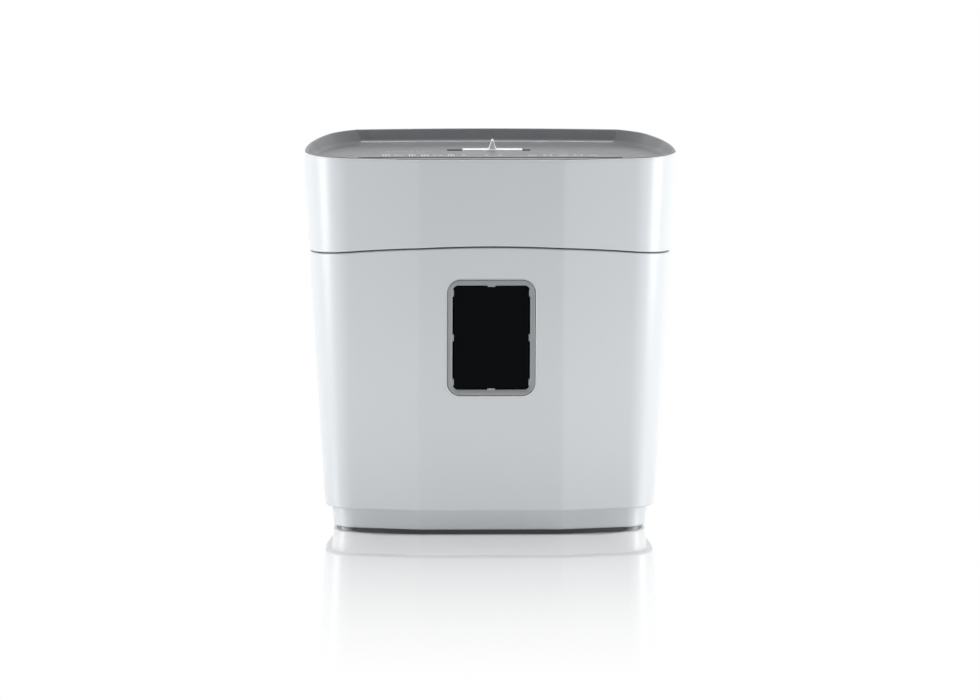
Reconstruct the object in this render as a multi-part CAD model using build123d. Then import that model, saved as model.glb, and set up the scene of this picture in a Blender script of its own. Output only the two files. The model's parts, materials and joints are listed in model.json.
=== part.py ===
"""Small office paper shredder: a lift-off shredder head standing on a tapered waste bin.

Millimetres. +X is the operator's right, +Y the back, +Z up. The origin is at the middle of the footprint,
on the surface that the feet stand on.
"""
import os
from math import acos, cos, pi, radians, sin, sqrt, tan

from build123d import *

# ---------------------------------------------------------------- driving dimensions: outside
HALF_WIDTH_TOP = 157.5
HALF_WIDTH_LOW = 139.8
FRONT_TOP = -95.0
FRONT_LOW = -84.6
BACK_TOP = 95.0
BACK_LOW = 90.0
CORNER_TOP = 45.0
CORNER_LOW = 28.0
FACET_HALF = 60.5        # half width of the flat middle of the front
FACET_TURN = 10.0        # degrees that the two side facets turn back
SIDE_DROP = 16.5         # how far the sides close in towards the back
SIDE_END = 52.0          # where the side's long arc meets the rear corner
BACK_CREASE_TOP = 113.0
BACK_CREASE_LOW = 98.0
BACK_BOW = 7.0
FOOT_HEIGHT = 2.0
STEP_Z = 20.0            # bottom edge of the bin's outer wall, above the recessed plinth
RIM_Z = 322.0
WALL = 2.5

# ---------------------------------------------------------------- driving dimensions: seam
SEAM_Z = 247.5           # top of the seam's arch
SEAM_RADIUS = 1200.0
SEAM_HALF_GAP = 0.6

# ---------------------------------------------------------------- driving dimensions: top
TRAY_DEPTH = 4.0         # at the front rim
TRAY_FALL = 0.041        # and this much deeper for each millimetre towards the back
TRAY_SKIN = 2.2
SLOT_LENGTH = 224.0
SLOT_WIDTH = 7.0
SWITCH_Y = 23.0
SWITCH_SLOT = (-35.6, 35.4)
SWITCH_WIDTH = 11.0
FIN_TOP = 322.4
SLIDER_HALF = 25.6
SLIDER_X = 3.2           # where the slider rests, right of the middle

# ---------------------------------------------------------------- driving dimensions: works
CUT_Y = -38.0            # the nip between the two rollers, under the feed slot
CUT_Z = 268.0
ROLLER_GAP = 32.0
DISC_RADIUS = 18.5
DISC_THICK = 3.7
DISC_PITCH = 8.0
DISC_COUNT = 28
SPACER_RADIUS = 12.5
HEX_RADIUS = 8.0
JOURNAL = 5.0
FREE = 0.05              # radial clearance of every running fit
PLATE_X = (115.0, 118.0)
FLOOR_Z = (232.0, 235.0)
LAYER_1 = (121.0, 126.0)
LAYER_2 = (127.0, 131.5)
LAYER_3 = (132.5, 138.0)
SYNC_X = (-131.0, -121.0)
AXLE = 3.0

FRONT_AXIS = (CUT_Y - ROLLER_GAP / 2, CUT_Z)
REAR_AXIS = (CUT_Y + ROLLER_GAP / 2, CUT_Z)


def beyond(point, distance, degrees):
    """A point in the YZ plane, at a distance and a direction from another."""
    return point[0] + distance * cos(radians(degrees)), point[1] + distance * sin(radians(degrees))


# Teeth and modules of the three reductions, from the rear roller back to the motor.
DRIVE_MODULE = 1.5
DRIVE_TEETH = (35, 14)
SECOND_MODULE = 1.25
SECOND_TEETH = (40, 12)
FIRST_MODULE = 1.0
FIRST_TEETH = (42, 10)
SYNC_MODULE = 2.0
SYNC_TEETH = 16
DRIVE_TURN = 0.0
SECOND_TURN = 30.0
FIRST_TURN = 225.0
SECOND_AXIS = beyond(REAR_AXIS, DRIVE_MODULE * sum(DRIVE_TEETH) / 2, DRIVE_TURN)
FIRST_AXIS = beyond(SECOND_AXIS, SECOND_MODULE * sum(SECOND_TEETH) / 2, SECOND_TURN)
MOTOR_AXIS = beyond(FIRST_AXIS, FIRST_MODULE * sum(FIRST_TEETH) / 2, FIRST_TURN)
MOTOR_RADIUS = 21.0
MOTOR_X = (51.0, 115.0)

ROD_SPOTS = ((-70.0, 292.0), (-6.0, 292.0), (-66.0, 246.0), (-10.0, 246.0))
BOSS_SPOTS = ((-136.9, -59.5), (136.9, -59.5), (-105.0, 74.0), (105.0, 74.0))
FOOT_SPOTS = ((-120.5, -51.0), (120.5, -51.0), (-99.0, 55.0), (99.0, 55.0))
BOARD_X = (-100.0, 2.0)
BOARD_Y = (12.0, 64.0)
BOARD_Z = (243.0, 244.6)
BOARD_SPOTS = ((-95.0, 17.0), (-95.0, 59.0), (-12.0, 17.0), (-12.0, 59.0))
LOCK_SPOT = (80.0, 72.0)
PLUNGER_REACH = 3.0      # below the head's floor
GLAND_SPOT = (-60.0, 262.0)
LEVER_X = 36.0
LEVER_PIVOT = (-27.0, 303.0)

PARTS = {}


# ---------------------------------------------------------------- helpers
def block(x, y, z):
    """A box between two limits along each axis."""
    middle = ((x[0] + x[1]) / 2, (y[0] + y[1]) / 2, (z[0] + z[1]) / 2)
    return Pos(*middle) * Box(x[1] - x[0], y[1] - y[0], z[1] - z[0])


def rod_x(radius, x, spot):
    """A round bar along X, at a (y, z) spot."""
    return Pos((x[0] + x[1]) / 2, *spot) * Rot(0, 90, 0) * Cylinder(radius, x[1] - x[0])


def rod_z(radius, z, spot):
    """A round bar along Z, at an (x, y) spot."""
    return Pos(spot[0], spot[1], (z[0] + z[1]) / 2) * Cylinder(radius, z[1] - z[0])


def slab_x(points, x):
    """A plate square to X, from its (y, z) corners."""
    face = Plane.YZ.offset(x[0]) * make_face(Polyline(*points, close=True))
    return extrude(face, x[1] - x[0])


def at_height(low, high, z):
    return low + (high - low) * (z - STEP_Z) / (RIM_Z - STEP_Z)


def outline(z, inset=0.0, front_extra=0.0):
    """The plan of the body at a height: three front facets, round corners, bowed sides and back."""
    half = at_height(HALF_WIDTH_LOW, HALF_WIDTH_TOP, z) - inset
    front = at_height(FRONT_LOW, FRONT_TOP, z) + inset + front_extra
    back = at_height(BACK_LOW, BACK_TOP, z) - inset
    corner = at_height(CORNER_LOW, CORNER_TOP, z) - inset
    crease = FACET_HALF - inset * tan(radians(FACET_TURN / 2))
    turn = radians(90 - FACET_TURN)
    tangent = corner * tan(turn / 2)
    meet_y = front + (half - crease) * tan(radians(FACET_TURN))
    start = (half - tangent * cos(radians(FACET_TURN)), meet_y - tangent * sin(radians(FACET_TURN)))
    end = (half, meet_y + tangent)
    halfway = radians(-(90 - FACET_TURN) / 2)
    bulge = (half - corner + corner * cos(halfway), end[1] + corner * sin(halfway))
    rear = (half - SIDE_DROP, SIDE_END - 0.4 * inset)
    rise = rear[1] - end[1]
    side_radius = (rise ** 2 + SIDE_DROP ** 2) / (2 * SIDE_DROP)
    side_mid = (half - side_radius + sqrt(side_radius ** 2 - (rise / 2) ** 2), end[1] + rise / 2)
    crease_back = (at_height(BACK_CREASE_LOW, BACK_CREASE_TOP, z) - 0.5 * inset, back - BACK_BOW)
    chord = (rear[0] - crease_back[0], crease_back[1] - rear[1])
    corner_bulge = 0.088     # keeps the rear corner tangent to the side
    rear_mid = ((rear[0] + crease_back[0]) / 2 + chord[1] * corner_bulge,
                (rear[1] + crease_back[1]) / 2 + chord[0] * corner_bulge)

    def side(mirror):
        spot = [(mirror * x, y, z) for x, y in
                ((crease, front), start, bulge, end, side_mid, rear, rear_mid, crease_back)]
        return [Line(spot[0], spot[1]), ThreePointArc(spot[1], spot[2], spot[3]),
                ThreePointArc(spot[3], spot[4], spot[5]), ThreePointArc(spot[5], spot[6], spot[7])]

    ends = [Line((-crease, front, z), (crease, front, z)),
            ThreePointArc((crease_back[0], crease_back[1], z), (0, back, z),
                          (-crease_back[0], crease_back[1], z))]
    return Face(Wire([ends[0], *side(1), ends[1], *side(-1)]))


def body(*sections):
    """A ruled body through outlines, each given as (height, inset) or (height, inset, front_extra)."""
    return loft([outline(*section) for section in sections], ruled=True)


def under_seam(offset):
    """Everything below the seam's arch, raised by an offset."""
    return Pos(0, 0, SEAM_Z - SEAM_RADIUS) * Rot(90, 0, 0) * Cylinder(SEAM_RADIUS + offset, 400)


def tray_z(y):
    """Height of the tray's floor."""
    return RIM_Z - TRAY_DEPTH - TRAY_FALL * (y - FRONT_TOP)


def over_tray(offset, y=(-120.0, 120.0)):
    """Everything above the tray's floor, raised by an offset."""
    profile = Polyline((y[0], tray_z(y[0]) + offset), (y[1], tray_z(y[1]) + offset), (y[1], 400), (y[0], 400),
                       close=True)
    return extrude(Plane.YZ.offset(-200) * make_face(profile), 400)


def hexagon(radius, x, spot):
    return extrude(Plane.YZ.offset(x[0]) * Pos(*spot) * RegularPolygon(radius, 6), x[1] - x[0])


# ---------------------------------------------------------------- gears
PRESSURE = radians(20)
ADDENDUM = 0.8
DEDENDUM = 1.12
TOOTH_SHARE = 0.9        # tooth thickness as a share of half the pitch, the rest is backlash


def involute(angle):
    return tan(angle) - angle


def gear(teeth, module, x, spot, phase=0.0, bore=None):
    """A spur gear along X. A tooth is centred at the phase angle, in degrees from +Y towards +Z."""
    pitch_radius = teeth * module / 2
    base = pitch_radius * cos(PRESSURE)
    root = pitch_radius - DEDENDUM * module
    tip = pitch_radius + ADDENDUM * module
    half_tooth = TOOTH_SHARE * pi / 2 / teeth
    low = max(base, root)
    radii = [root, low, low + 0.35 * (tip - low), low + 0.7 * (tip - low), tip]
    if root >= base:
        radii.remove(low)

    def half_angle(radius):
        return half_tooth + involute(PRESSURE) - involute(acos(min(1.0, base / radius)))

    points = []
    for tooth in range(teeth):
        middle = radians(phase) + 2 * pi * tooth / teeth
        flank = [(radius, half_angle(radius)) for radius in radii]
        points += [(r * cos(middle - a), r * sin(middle - a)) for r, a in flank]
        points += [(r * cos(middle + a), r * sin(middle + a)) for r, a in reversed(flank)]
    wheel = slab_x([(y + spot[0], z + spot[1]) for y, z in points], x)
    if bore:
        wheel -= rod_x(bore, (x[0] - 1, x[1] + 1), spot)
    return wheel


def mating_phase(teeth_a, phase_a, teeth_b, direction):
    """Phase of gear b, that lies in a direction from gear a, so that the two are in mesh."""
    into_tooth = (direction - phase_a) / (360 / teeth_a)
    return direction + 180 - 360 / teeth_b * (0.5 - into_tooth)


DRIVE_PHASE = 0.0
SECOND_SMALL_PHASE = mating_phase(DRIVE_TEETH[0], DRIVE_PHASE, DRIVE_TEETH[1], DRIVE_TURN)
SECOND_BIG_PHASE = 0.0
FIRST_SMALL_PHASE = mating_phase(SECOND_TEETH[0], SECOND_BIG_PHASE, SECOND_TEETH[1], SECOND_TURN)
FIRST_BIG_PHASE = 0.0
PINION_PHASE = mating_phase(FIRST_TEETH[0], FIRST_BIG_PHASE, FIRST_TEETH[1], FIRST_TURN)


# ---------------------------------------------------------------- waste bin
WINDOW_Z = 169.7
WINDOW_SIZE = (73.6, 99.0)
WINDOW_CORNER = 11.0
PANE_SIZE = (63.6, 87.8)
PANE_CORNER = 4.2
SIGHT_SIZE = (65.4, 89.6)
SIGHT_CORNER = 5.0
FLANGE = 7.0             # how much wider the bezel's hidden flange is
TAB_LOW_Z = 212.0
TAB_GAP = 1.4            # below the resting interlock plunger


def window_plane():
    """The leaning plane of the bin's front, with its normal outwards."""
    lean = (FRONT_LOW - FRONT_TOP) / (RIM_Z - STEP_Z)
    normal = Vector(0, -1, -lean).normalized()
    middle = (0, at_height(FRONT_LOW, FRONT_TOP, WINDOW_Z), WINDOW_Z)
    return Plane(origin=middle, x_dir=(1, 0, 0), z_dir=normal)


def window_slab(size, corner, depth):
    """A rounded slab in the front's plane, between two depths (outwards is positive)."""
    face = window_plane().offset(depth[0]) * RectangleRounded(*size, corner)
    return extrude(face, depth[1] - depth[0])


def waste_bin():
    outer = body((STEP_Z, 1.2), (STEP_Z + 1.6, 0), (260, 0))
    hollow = body((STEP_Z + 3.5, WALL), (262, WALL))
    shell = (outer - hollow) & under_seam(-SEAM_HALF_GAP)
    plinth = body((FOOT_HEIGHT, 6.3, 3.5), (STEP_Z, 5.5, 3.5)) - body((0, 8.8, 3.5), (STEP_Z, 8.0, 3.5))
    shell += plinth
    for spot in FOOT_SPOTS:
        shell += rod_z(6.6, (FOOT_HEIGHT, STEP_Z + 1), spot)
        shell -= rod_z(2.6, (0, FOOT_HEIGHT + 6), spot)
    shell -= window_slab((WINDOW_SIZE[0] + 1, WINDOW_SIZE[1] + 1), WINDOW_CORNER + 0.5, (-4, 4))
    # The tab that presses the interlock plunger stands out from the back wall.
    tab_y = (LOCK_SPOT[1] - 5, 100)
    tab_top = FLOOR_Z[0] - PLUNGER_REACH - TAB_GAP
    tab = block((LOCK_SPOT[0] - 4, LOCK_SPOT[0] + 4), tab_y, (TAB_LOW_Z, tab_top))
    shell += tab & body((205, WALL / 2), (240, WALL / 2))
    return shell


def window_frame():
    frame = window_slab(WINDOW_SIZE, WINDOW_CORNER, (-3.9, 0.5))
    frame += window_slab((WINDOW_SIZE[0] + FLANGE, WINDOW_SIZE[1] + FLANGE), WINDOW_CORNER + 3, (-3.9, -2.6))
    frame -= window_slab(SIGHT_SIZE, SIGHT_CORNER, (-5, 2))
    # Eight small catches reach over the pane's edge.
    catches = [(0, 1, 6.4, True), (0, -1, 6.4, True)]
    catches += [(side, up, 6.0, False) for side in (-1, 1) for up in (-0.86, 0.0, 0.86)]
    for side, up, length, lying in catches:
        size = (length, 2.2) if lying else (2.2, length)
        x = side * (SIGHT_SIZE[0] / 2 - 0.4)
        y = up * (SIGHT_SIZE[1] / 2 - 0.4)
        frame += extrude(window_plane().offset(-1.1) * Pos(x, y) * Rectangle(*size), 0.7)
    return frame


def window_pane():
    return window_slab(PANE_SIZE, PANE_CORNER, (-3.6, -1.15))


def rubber_feet():
    feet = []
    for spot in FOOT_SPOTS:
        feet.append(rod_z(5.6, (0, FOOT_HEIGHT), spot) + rod_z(2.5, (0, FOOT_HEIGHT + 5), spot))
    return feet


# ---------------------------------------------------------------- head covers
VENT_ROWS, VENT_COLUMNS = 4, 5
VENT_START = (12.0, 266.0)      # x of the first column's middle, z of the lowest row
VENT_PITCH = (17.0, 8.0)
VENT_SIZE = (14.0, 3.0)
GLAND_HOLE = 5.6
DISCHARGE_X = 112.0
DISCHARGE_Y = (-62.0, -14.0)


def head_shell():
    outer = body((225, 0), (RIM_Z - 1.6, 0), (RIM_Z - 0.6, 0.9))
    hollow = body((223, WALL), (RIM_Z - 2.6, WALL))
    shell = outer - hollow - body((RIM_Z - 2.7, 1.1), (RIM_Z + 2, 1.1))
    shell -= under_seam(SEAM_HALF_GAP)
    for row in range(VENT_ROWS):
        z = VENT_START[1] + VENT_PITCH[1] * row
        for column in range(VENT_COLUMNS):
            x = VENT_START[0] + VENT_PITCH[0] * column
            shell -= block((x - VENT_SIZE[0] / 2, x + VENT_SIZE[0] / 2), (80, 100), (z, z + VENT_SIZE[1]))
    gland = Pos(GLAND_SPOT[0], 90, GLAND_SPOT[1]) * Rot(90, 0, 0) * Cylinder(GLAND_HOLE, 20)
    return shell - gland


def top_cover():
    cover = body((RIM_Z - 15, WALL + 0.2), (RIM_Z - 2.6, WALL + 0.2))
    cover += body((RIM_Z - 2.6, 1.3), (RIM_Z - 0.5, 1.3), (RIM_Z, 1.8))
    pocket = body((RIM_Z - 14, 10.6), (RIM_Z + 4, 1.4)) & over_tray(0)
    skin = body((RIM_Z - 16, WALL + 2.4), (RIM_Z - 4, WALL + 2.4)) - over_tray(-TRAY_SKIN)
    cover = cover - pocket - skin
    for spot in BOSS_SPOTS:
        boss = rod_z(4.0, (FLOOR_Z[1], 318), spot) - over_tray(-TRAY_SKIN / 2)
        cover += boss
        cover -= rod_z(1.6, (FLOOR_Z[1] - 1, FLOOR_Z[1] + 14), spot)
    slot_z = tray_z(CUT_Y)
    cover -= block((-SLOT_LENGTH / 2, SLOT_LENGTH / 2), (CUT_Y - SLOT_WIDTH / 2, CUT_Y + SLOT_WIDTH / 2),
                   (slot_z - 10, slot_z + 2))
    slot_y = (SWITCH_Y - SWITCH_WIDTH / 2, SWITCH_Y + SWITCH_WIDTH / 2)
    return cover - block(SWITCH_SLOT, slot_y, (300, 320))


def head_base():
    tub = body((FLOOR_Z[0], 4.0), (250, 4.0)) - body((FLOOR_Z[1], 6.0), (252, 6.0))
    collar = body((225, 1.2), (260, 1.2)) - body((224, 4.8), (261, 4.8))
    collar = (collar & under_seam(SEAM_HALF_GAP - 0.05)) - under_seam(-SEAM_HALF_GAP + 0.3)
    tub += collar
    tub -= block((-DISCHARGE_X, DISCHARGE_X), DISCHARGE_Y, (225, 240))
    # The right wall is lower beside the widest part of the gear cover.
    tub -= block((130, 145), (12, 46), (238.5, 251))
    for spot in BOSS_SPOTS:
        tub -= rod_z(2.2, (225, 240), spot)
    for spot in BOARD_SPOTS:
        tub += rod_z(3.0, (FLOOR_Z[1] - 0.5, BOARD_Z[0]), spot)
        tub -= rod_z(1.2, (FLOOR_Z[1], BOARD_Z[0] + 1), spot)
    tub -= rod_z(2.0 + 0.3, (225, 240), LOCK_SPOT)
    return tub


def base_screws():
    screws = []
    for spot in BOSS_SPOTS:
        head = rod_z(3.4, (FLOOR_Z[0] - 2, FLOOR_Z[0]), spot)
        screws.append(head + rod_z(1.5, (FLOOR_Z[0] - 1, 247), spot))
    return screws


def cord_gland():
    """A rubber bush in the back of the head, with a hole for the mains lead."""
    def ring(radius, y):
        middle = Pos(GLAND_SPOT[0], (y[0] + y[1]) / 2, GLAND_SPOT[1])
        return middle * Rot(90, 0, 0) * Cylinder(radius, y[1] - y[0])
    bush = ring(8.0, (83.4, 86.0)) + ring(5.4, (84, 94.4)) + (ring(7.4, (93.0, 94.7)))
    return bush - ring(3.6, (80, 100))


# ---------------------------------------------------------------- frame of the cutting works
def plate_holes(side_x):
    """Everything that is drilled in both side plates."""
    holes = rod_x(8.03, side_x, FRONT_AXIS) + rod_x(8.03, side_x, REAR_AXIS)
    for spot in ROD_SPOTS:
        holes += rod_x(2.55, side_x, spot)
    return holes


def side_plate_left():
    corners = [(-68, 235), (-77.5, 256), (-77.5, 286), (-66, 304), (-2, 304), (6, 296), (6, 235)]
    return slab_x(corners, (-PLATE_X[1], -PLATE_X[0])) - plate_holes((-PLATE_X[1] - 1, -PLATE_X[0] + 1))


def side_plate_right():
    corners = [(-68, 235), (-77.5, 256), (-77.5, 286), (-66, 304), (58, 304), (68, 292), (68, 235)]
    plate = slab_x(corners, PLATE_X)
    through = (PLATE_X[0] - 1, PLATE_X[1] + 1)
    plate -= plate_holes(through)
    plate -= rod_x(7.1, through, MOTOR_AXIS)
    for spot in (FIRST_AXIS, SECOND_AXIS):
        plate -= rod_x(AXLE + 0.03, through, spot)
    for turn in (45, 225):
        plate -= rod_x(2.05, through, beyond(MOTOR_AXIS, 14.5, turn))
    return plate


def roller_bushes():
    bushes = []
    for x in ((PLATE_X[0], PLATE_X[1] + 2), (-PLATE_X[1] - 2, -PLATE_X[0])):
        for spot in (FRONT_AXIS, REAR_AXIS):
            bushes.append(rod_x(8.0, x, spot) - rod_x(JOURNAL + FREE, (x[0] - 1, x[1] + 1), spot))
    return bushes


def tie_rods():
    rods = []
    for spot in ROD_SPOTS:
        reach = PLATE_X[1] + 3.5
        rods.append(rod_x(3.5, (-PLATE_X[0], PLATE_X[0]), spot) + rod_x(2.5, (-reach, reach), spot))
    return rods


def tie_rod_nuts():
    nuts = []
    for spot in ROD_SPOTS:
        for x in ((PLATE_X[1], PLATE_X[1] + 2.8), (-PLATE_X[1] - 2.8, -PLATE_X[1])):
            nuts.append(hexagon(4.6, x, spot) - rod_x(2.55, (x[0] - 1, x[1] + 1), spot))
    return nuts


def stripper_comb(bar_y, finger_y, first_x):
    """A bar between the side plates with a finger in each gap between a roller's discs."""
    comb = block((-PLATE_X[0], PLATE_X[0]), bar_y, (CUT_Z - 5, CUT_Z + 5))
    for gap in range(DISC_COUNT - 1):
        x = first_x + DISC_PITCH * (gap + 0.5)
        comb += block((x - 1.6, x + 1.6), finger_y, (CUT_Z - 3, CUT_Z + 3))
    return comb


FRONT_DISC_X = -DISC_PITCH * (DISC_COUNT - 1) / 2 - DISC_PITCH / 4
REAR_DISC_X = FRONT_DISC_X + DISC_PITCH / 2


def front_stripper_comb():
    edge = FRONT_AXIS[0] - DISC_RADIUS - 1.1
    return stripper_comb((edge - 3.9, edge), (edge - 1, FRONT_AXIS[0] - SPACER_RADIUS - 0.6), FRONT_DISC_X)


def rear_stripper_comb():
    edge = REAR_AXIS[0] + DISC_RADIUS + 0.7
    return stripper_comb((edge, edge + 4.2), (REAR_AXIS[0] + SPACER_RADIUS + 0.6, edge + 1), REAR_DISC_X)


def feed_chute():
    """Two leaning walls under the feed slot, joined at their ends, with ears for the paper sensor."""
    top = tray_z(CUT_Y) - TRAY_SKIN
    low = 289.0
    reach = PLATE_X[0] - 0.5
    chute = None
    for side in (-1, 1):
        corners = [(3.2, low), (5.2, low), (6.4, top - 3), (13, top - 3.2), (13, top - 1.2), (4.4, top - 1.2)]
        wall = slab_x([(CUT_Y + side * y, z) for y, z in corners], (-reach, reach))
        chute = wall if chute is None else chute + wall
    for side in (-1, 1):
        end = (side * reach, side * (SLOT_LENGTH / 2 + 0.5))
        chute += block((min(end), max(end)), (CUT_Y - 4.5, CUT_Y + 4.5), (low, top - 2))
    chute -= block((LEVER_X - 3.2, LEVER_X + 3.2), (CUT_Y, CUT_Y + 12), (low - 1, top - 5))
    for x in (LEVER_X - 6.2, LEVER_X + 3.2):
        chute += block((x, x + 3), (-34, LEVER_PIVOT[0] + 3.5), (LEVER_PIVOT[1] - 3.5, LEVER_PIVOT[1] + 3.5))
    return chute - rod_x(1.03, (LEVER_X - 8, LEVER_X + 8), LEVER_PIVOT)


# ---------------------------------------------------------------- cutting rollers
def hooked_disc(x, axis, stagger):
    """A cutting disc with three hooks ground into its rim and a hexagonal bore."""
    disc = Circle(DISC_RADIUS)
    for hook in range(3):
        corners = [(DISC_RADIUS + 1, -0.6), (DISC_RADIUS - 3, 0.2), (DISC_RADIUS + 1, 5.4)]
        notch = make_face(Polyline(*corners, close=True))
        disc -= Rot(0, 0, stagger + 120 * hook) * notch
    disc -= RegularPolygon(HEX_RADIUS + 0.05, 6)
    return extrude(Plane.YZ.offset(x - DISC_THICK / 2) * Pos(*axis) * disc, DISC_THICK)


def cutter_discs(first_x, axis, direction):
    return [hooked_disc(first_x + DISC_PITCH * i, axis, direction * 20 * i) for i in range(DISC_COUNT)]


def cutter_spacers(first_x, axis):
    spacers = []
    for i in range(DISC_COUNT - 1):
        x = first_x + DISC_PITCH * i + DISC_THICK / 2
        ring = Circle(SPACER_RADIUS) - RegularPolygon(HEX_RADIUS + 0.05, 6)
        spacers.append(extrude(Plane.YZ.offset(x) * Pos(*axis) * ring, DISC_PITCH - DISC_THICK))
    return spacers


def cutter_shaft(axis, first_x, right_end):
    last_x = first_x + DISC_PITCH * (DISC_COUNT - 1)
    shaft = hexagon(HEX_RADIUS, (first_x - DISC_THICK / 2, last_x + DISC_THICK / 2), axis)
    return shaft + rod_x(JOURNAL, (SYNC_X[0] - 1.5, right_end), axis)


# ---------------------------------------------------------------- gear train and motor
def compound_gear(big, big_x, small, small_x, module, axis, phases):
    """Two gears in one moulding, turning on a fixed axle."""
    wheel = gear(big, module[0], big_x, axis, phases[0]) + gear(small, module[1], small_x, axis, phases[1])
    hub = rod_x(AXLE + 2.4, (min(big_x[0], small_x[0]), max(big_x[1], small_x[1])), axis)
    return wheel + hub - rod_x(AXLE + FREE, (110, 150), axis)


def gear_axles():
    return [rod_x(AXLE, (PLATE_X[0], LAYER_3[1] + 0.3), SECOND_AXIS),
            rod_x(AXLE, (PLATE_X[0], LAYER_2[1] + 0.3), FIRST_AXIS)]


COVER_BAYS = (            # (y, greatest x, z) of each bay of the gear cover
    ((-53.0, 28.0), 139.6, (239.0, 304.0)),
    ((28.0, 43.0), 133.4, (240.0, 304.0)),
    ((43.0, 53.4), 133.4, (262.0, 304.0)),
)
COVER_DRUM = (23.6, 127.9)      # radius and greatest x of the round bay over the first reduction
COVER_SKIN = 1.2
COVER_SCREWS = (((-49.5, 300.0), 139.6), ((-14.0, 300.5), 139.6), ((64.85, 268.9), 121.0))


def gear_cover():
    """A moulded cover with one open side, that keeps paper dust off the gears."""
    skin = COVER_SKIN
    cover = None
    for y, x, z in COVER_BAYS:
        bay = block((PLATE_X[1], x), y, z)
        cover = bay if cover is None else cover + bay
    cover += rod_x(COVER_DRUM[0], (PLATE_X[1], COVER_DRUM[1]), FIRST_AXIS)
    low_y = COVER_BAYS[0][0][0] + skin
    for y, x, z in COVER_BAYS:
        cover -= block((PLATE_X[1] - 1, x - skin), (low_y, y[1] - skin), (z[0] + skin, z[1] - skin))
        low_y = y[1] - skin - 0.01
    cover -= rod_x(COVER_DRUM[0] - skin, (PLATE_X[1] - 1, COVER_DRUM[1] - skin), FIRST_AXIS)
    for spot, outer in COVER_SCREWS:
        cover += rod_x(3.0, (PLATE_X[1], outer), spot)
        cover -= rod_x(1.3, (PLATE_X[1] - 1, 150), spot)
    # Room for the front roller's bush and shaft end, that stand out of the side plate.
    return cover - rod_x(8.8, (PLATE_X[1] - 1, PLATE_X[1] + 3.2), FRONT_AXIS)


def gear_cover_screws():
    screws = []
    for spot, outer in COVER_SCREWS:
        screws.append(rod_x(1.2, (PLATE_X[1] + 1, outer + 1), spot) + rod_x(2.6, (outer, outer + 1.2), spot))
    return screws


def motor_can():
    can = rod_x(MOTOR_RADIUS, MOTOR_X, MOTOR_AXIS)
    can -= rod_x(MOTOR_RADIUS - 2, (MOTOR_X[0] - 1, MOTOR_X[1] - 2.5), MOTOR_AXIS)
    can += rod_x(6.5, (MOTOR_X[1] - 1, MOTOR_X[1] + 3), MOTOR_AXIS)
    can -= rod_x(2.5 + FREE, (MOTOR_X[0], MOTOR_X[1] + 5), MOTOR_AXIS)
    for turn in (45, 225):
        can -= rod_x(1.7, (MOTOR_X[1] - 4, MOTOR_X[1] + 1), beyond(MOTOR_AXIS, 14.5, turn))
    return can


def motor_end_cap():
    cap = rod_x(MOTOR_RADIUS, (MOTOR_X[0] - 3, MOTOR_X[0]), MOTOR_AXIS)
    cap += rod_x(MOTOR_RADIUS - 2.05, (MOTOR_X[0], MOTOR_X[0] + 4), MOTOR_AXIS)
    cap += rod_x(7, (MOTOR_X[0] - 6, MOTOR_X[0] - 3), MOTOR_AXIS)
    return cap - rod_x(2.5 + FREE, (MOTOR_X[0] - 3, MOTOR_X[0] + 5), MOTOR_AXIS)


def motor_rotor():
    rotor = rod_x(2.5, (MOTOR_X[0] - 2.5, LAYER_1[1]), MOTOR_AXIS)
    return rotor + rod_x(11, (MOTOR_X[0] + 14, MOTOR_X[0] + 42), MOTOR_AXIS) + rod_x(
        6, (MOTOR_X[0] + 6, MOTOR_X[0] + 14), MOTOR_AXIS)


def motor_screws():
    screws = []
    for turn in (45, 225):
        spot = beyond(MOTOR_AXIS, 14.5, turn)
        head = rod_x(3.2, (PLATE_X[1], PLATE_X[1] + 1.8), spot)
        screws.append(head + rod_x(1.6, (PLATE_X[0] - 2.4, PLATE_X[1] + 1), spot))
    return screws


def motor_lead(terminal_y, block_y):
    """A lead in a smooth run from the motor's end cap to the terminal block on the board."""
    start_x = MOTOR_X[0] - 3
    path = FilletPolyline((start_x, terminal_y, 262), (start_x - 12, terminal_y, 262),
                          (14, block_y, 250), (2, block_y, 250), radius=8)
    return sweep(Plane(origin=(start_x, terminal_y, 262), z_dir=(-1, 0, 0)) * Circle(0.9), path)


# ---------------------------------------------------------------- electrics
def control_board():
    board = block(BOARD_X, BOARD_Y, BOARD_Z)
    for spot in BOARD_SPOTS:
        board -= rod_z(1.3, (BOARD_Z[0] - 1, BOARD_Z[1] + 1), spot)
    return board


def board_screws():
    screws = []
    for spot in BOARD_SPOTS:
        head = rod_z(2.4, (BOARD_Z[1], BOARD_Z[1] + 1.5), spot)
        screws.append(head + rod_z(1.1, (BOARD_Z[0] - 5, BOARD_Z[1] + 1), spot))
    return screws


def terminal_block():
    top = BOARD_Z[1] + 10
    terminals = block((-6, 2), (24, 44), (BOARD_Z[1], top))
    for y in (29.0, 34.0, 39.0):
        terminals -= rod_z(1.6, (top - 2, top + 1), (-2, y))
    return terminals


def capacitor():
    spot = (-76, 48)
    core = rod_z(8, (BOARD_Z[1], BOARD_Z[1] + 22), spot)
    return core + rod_z(8.4, (BOARD_Z[1] + 1, BOARD_Z[1] + 20), spot)


def mode_switch_block():
    """The sliding switch under the tray, that the slider's stem works."""
    groove = (SWITCH_SLOT[0] + 20, SWITCH_SLOT[1] - 20)
    case = block((groove[0] - 5, groove[1] + 5), (SWITCH_Y - 7, SWITCH_Y + 7), (292, 306))
    case -= block(groove, (SWITCH_Y - 2.4, SWITCH_Y + 2.4), (302, 307))
    for x in (groove[0] - 4, groove[1] + 4):
        ear = block((x - 2, x + 2), (SWITCH_Y + 5.9, SWITCH_Y + 9), (300, 320)) - over_tray(-TRAY_SKIN)
        case += ear
    return case


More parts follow.
